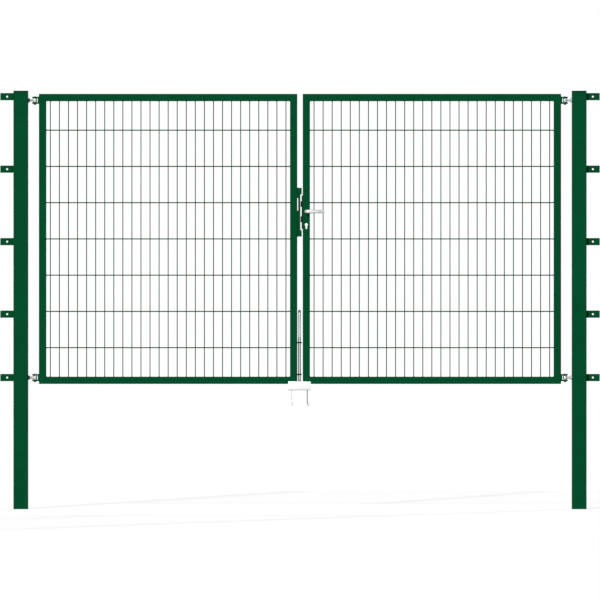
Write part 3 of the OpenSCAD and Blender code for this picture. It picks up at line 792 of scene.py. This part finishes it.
LEVER_START = 20.3 * MM
LEVER_STAND = 58 * MM
LEVER_BEND_R = 10 * MM
LEVER_STRAIGHT = 56 * MM
LEVER_REACH = 101 * MM
LEVER_RETURN = 10 * MM
LEVER_TAPER = 1 * MM
LEVER_NECK = 0.6 * MM
LEVER_INSET = 0.05 * MM
LEVER_CREASE = math.radians(50)
BEND_STEPS = 8
GRIP_STEPS = 12
TIP_STEPS = 6
# Steps that a quarter turn at the tip would have, which leaves a small flat end after TIP_STEPS.
TIP_QUARTER = 6.3
TIP_END_R = 0.5 * MM
SCREW_STEPS = 36
SCREW_HEAD_R = 5 * MM
SCREW_HEAD_T = 2.75 * MM
SCREW_SOCKET = 3 * MM
SCREW_SHANK_R = 2.5 * MM
FOREND_SCREW_INSET = 9 * MM
FOREND_SCREW_SINK = 0.9 * MM


def lever_path(full):
    """Centre points of the front lever and its radius at each, from the stile's face outwards."""
    stand, bend, start = LEVER_STAND, LEVER_BEND_R, LEVER_START
    tip = full - LEVER_TAPER
    points = [(0, -start, full), (0, -start - 4.5 * MM, full), (0, -start - 5 * MM, full - 0.7 * MM)]
    points += [(0, -start - 6 * MM, full - 0.9 * MM), (0, -stand + bend, full - LEVER_NECK)]
    for k in range(1, BEND_STEPS + 1):
        turn = math.pi / 2 * k / BEND_STEPS
        x = bend - bend * math.cos(turn)
        points.append((x, -stand + bend - bend * math.sin(turn), full - LEVER_NECK * (1 - k / BEND_STEPS)))
    points.append((35 * MM, -stand, full))
    grip = LEVER_REACH - tip - LEVER_STRAIGHT
    for k in range(GRIP_STEPS + 1):
        share = k / GRIP_STEPS
        ease = share * share * (3 - 2 * share)
        x = LEVER_STRAIGHT + grip * share
        points.append((x, -stand + LEVER_RETURN * ease, full + (tip - full) * share))
    x, y = points[-1][:2]
    for k in range(1, TIP_STEPS + 1):
        turn = math.pi / 2 * k / TIP_QUARTER
        points.append((x + tip * math.sin(turn), y, max(tip * math.cos(turn), TIP_END_R)))
    return points


def lever(name, node, flip):
    """Lever bent from a tapered round bar. flip is -1 for the rear lever."""
    low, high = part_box("spindle")
    centre = (low + high) / 2
    low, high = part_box(node)
    path = lever_path((high.z - low.z) / 2 - LEVER_INSET)
    rings = []
    for k, (x, y, r) in enumerate(path):
        before, after = path[max(k - 1, 0)], path[min(k + 1, len(path) - 1)]
        along = Vector((after[0] - before[0], after[1] - before[1], 0)).normalized()
        side = along.cross(Vector((0, 0, 1)))
        middle = Vector((x, y, 0))
        ring = []
        for t in turns_of(ROUND):
            point = middle + side * r * math.cos(t) + Vector((0, 0, r * math.sin(t)))
            ring.append(centre + Vector((point.x, flip * point.y, point.z)))
        rings.append(ring)
    bm = bmesh.new()
    skin(bm, rings)
    add_piece(name, bm, "handle", "lever_aluminium", [node], crease=LEVER_CREASE)


def pan_screws():
    """Fixing screws of the lock, with a hexagon socket in each head."""
    low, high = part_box("lock_screws")
    stile_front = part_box("right_meeting_stile")[0].y
    x = (low.x + high.x) / 2
    turns = turns_of(SCREW_STEPS)
    head = [
        (2.1 * MM, SCREW_HEAD_T), (3 * MM, SCREW_HEAD_T - 0.25 * MM), (4 * MM, SCREW_HEAD_T - 0.8 * MM),
        (4.7 * MM, SCREW_HEAD_T - 1.5 * MM), (SCREW_HEAD_R, SCREW_HEAD_T - 2.2 * MM),
        (SCREW_HEAD_R, 0.1 * MM), (SCREW_HEAD_R - 0.2 * MM, 0), (SCREW_SHANK_R, 0),
        (SCREW_SHANK_R, -11 * MM),
    ]
    bm = bmesh.new()
    for z in (low.z + SCREW_HEAD_R, high.z - SCREW_HEAD_R):
        place = Matrix.Translation((x, stile_front, z)) @ Matrix.Rotation(math.pi / 2, 4, "X")
        skin(bm, [
            hexagon(place, turns, SCREW_SOCKET, 0.9 * MM),
            hexagon(place, turns, SCREW_SOCKET, SCREW_HEAD_T - 0.05 * MM),
            *(circle(place, turns, r, height) for r, height in head),
        ])
    add_piece("pan_screws", bm, "right_leaf", "dark_steel", ["lock_screws"])


def forend_screws():
    """Two countersunk screws in the face of the forend."""
    low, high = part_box("lock_forend")
    profile = [
        (1.2 * MM, 0), (1.4 * MM, 0.8 * MM), (3.6 * MM, 1.0 * MM), (3.9 * MM, 0.9 * MM),
        (3.9 * MM, -0.5 * MM),
    ]
    bm = bmesh.new()
    for z in (low.z + FOREND_SCREW_INSET, high.z - FOREND_SCREW_INSET):
        seat = Matrix.Translation((low.x + FOREND_SCREW_SINK, 0, z))
        turned(bm, profile, seat @ Matrix.Rotation(-math.pi / 2, 4, "Y"))
    add_piece("forend_screws", bm, "right_leaf", "zinc")


# ---- Keep and guides ----

KEEP_WELD_R = 2.2 * MM
KEEP_WELD_GAP = 2 * MM
# Points this close to the keep's left side are on it.
KEEP_SIDE = 0.1 * MM
GUIDE_WELD_R = 1.6 * MM
LEVEL_WELD_INSET = 1 * MM
KEEP_SEED = 90
UPPER_KEEP_SEED = 190
KEEP_END_SEED = 93
GUIDE_SEED = 97


def level_welds(bm, low, high, radius, seed):
    """Level beads from front to back along a box's lower and upper left edges."""
    for index, z in enumerate((low.z, high.z)):
        front, rear = (low.x, low.y + LEVEL_WELD_INSET, z), (low.x, high.y - LEVEL_WELD_INSET, z)
        bead(bm, front, rear, radius, seed=seed + index)


def keep_welds():
    """Welds round the keep and the guides, which leave the keep's slot open."""
    low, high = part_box("lock_keep")
    points = [v.co for v in frame["nodes"]["lock_keep"].data.vertices]
    levels = sorted({round(co.z, 4) for co in points if co.x < low.x + KEEP_SIDE})
    slot_low, slot_high = levels[len(levels) // 2 - 1], levels[len(levels) // 2]
    gap = KEEP_WELD_GAP
    bm = bmesh.new()
    for index, y in enumerate((low.y, high.y)):
        for bottom, top, seed in ((low.z, slot_low, KEEP_SEED), (slot_high, high.z, UPPER_KEEP_SEED)):
            start, end = (low.x, y, bottom + gap), (low.x, y, top - gap)
            bead(bm, start, end, KEEP_WELD_R, seed=seed + index)
    level_welds(bm, low, high, KEEP_WELD_R, KEEP_END_SEED)
    for node in ("upper_bolt_guide", "lower_bolt_guide"):
        low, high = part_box(node)
        level_welds(bm, low, high, GUIDE_WELD_R, GUIDE_SEED)
    add_piece("keep_welds", bm, "left_leaf", "green_coat")


# ---- Ground stop ----

LEG_T = 5 * MM
LEG_BEND = 6 * MM
STOP_WELD_R = 2 * MM
STOP_SEED = 110


def stop_welds():
    """Fillet welds between the stop's plate and its legs."""
    low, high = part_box("ground_stop_anchors")
    faces = (low.x, low.x + LEG_T, high.x - LEG_BEND - LEG_T, high.x - LEG_BEND)
    bm = bmesh.new()
    for index, x in enumerate(faces):
        bead(bm, (x, low.y, high.z), (x, high.y, high.z), STOP_WELD_R, seed=STOP_SEED + index)
    add_piece("stop_welds", bm, "root", "zinc")


def stop_legs():
    """The two legs, of which the right one is the darker."""
    node = "ground_stop_anchors"
    low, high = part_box(node)
    middle = (low.x + high.x) / 2
    soften("left_stop_leg", node, "root", THICK_EDGE, "zinc", part=lambda co: co.x < middle)
    soften("right_stop_leg", node, "root", THICK_EDGE, "dark_zinc_and_painted_shade", part=lambda co: co.x > middle)


# ---- Build ----

bpy.context.scene.view_settings.view_transform = "Standard"
make_camera()
make_world()
make_sun("sun", SUN_POWER, SUN_RISE, SUN_SIDE)
make_sun("fill", FILL_POWER, FILL_RISE, FILL_SIDE, shadow=False)
make_floor()
make_materials()

for name, obj in frame["nodes"].items():
    obj.data.materials.clear()
    obj.data.materials.append(MATERIALS[SLOTS[name]])

for side, toward in (("left", 1), ("right", -1)):
    wire_panel(side)
    frame_welds(side)
    eye_bolts(side, toward)
    shank_nuts(side, toward)
    hinge_pins(side)
    brackets(side, toward)
    fence_tabs(side, toward)
    soften(side + "_cap_cover", side + "_post_cap", "root", SHEET_EDGE)

lever("front_handle", "front_lever", 1)
lever("rear_handle", "rear_lever", -1)
pan_screws()
forend_screws()
keep_welds()
stop_welds()
soften("keep_channel", "lock_keep", "left_leaf", SHEET_EDGE)
soften("upper_guide", "upper_bolt_guide", "left_leaf", SHEET_EDGE)
soften("lower_guide", "lower_bolt_guide", "left_leaf", SHEET_EDGE)
soften("bolt_bar", "drop_bolt", "drop_bolt", ROD_EDGE, "bolt_steel")
soften("forend_plate", "lock_forend", "right_leaf", THIN_EDGE, "dark_steel")
soften("deadbolt_bar", "deadbolt", "right_leaf", THICK_EDGE)
soften("latch_tongue", "latch_bolt", "latch", THICK_EDGE)
# The stop plate's near-white zinc is partly a painted reflection of the bright front.
soften("stop_plate", "ground_stop_plate", "root", THICK_EDGE, "zinc_sheet_painted_reflection")
stop_legs()
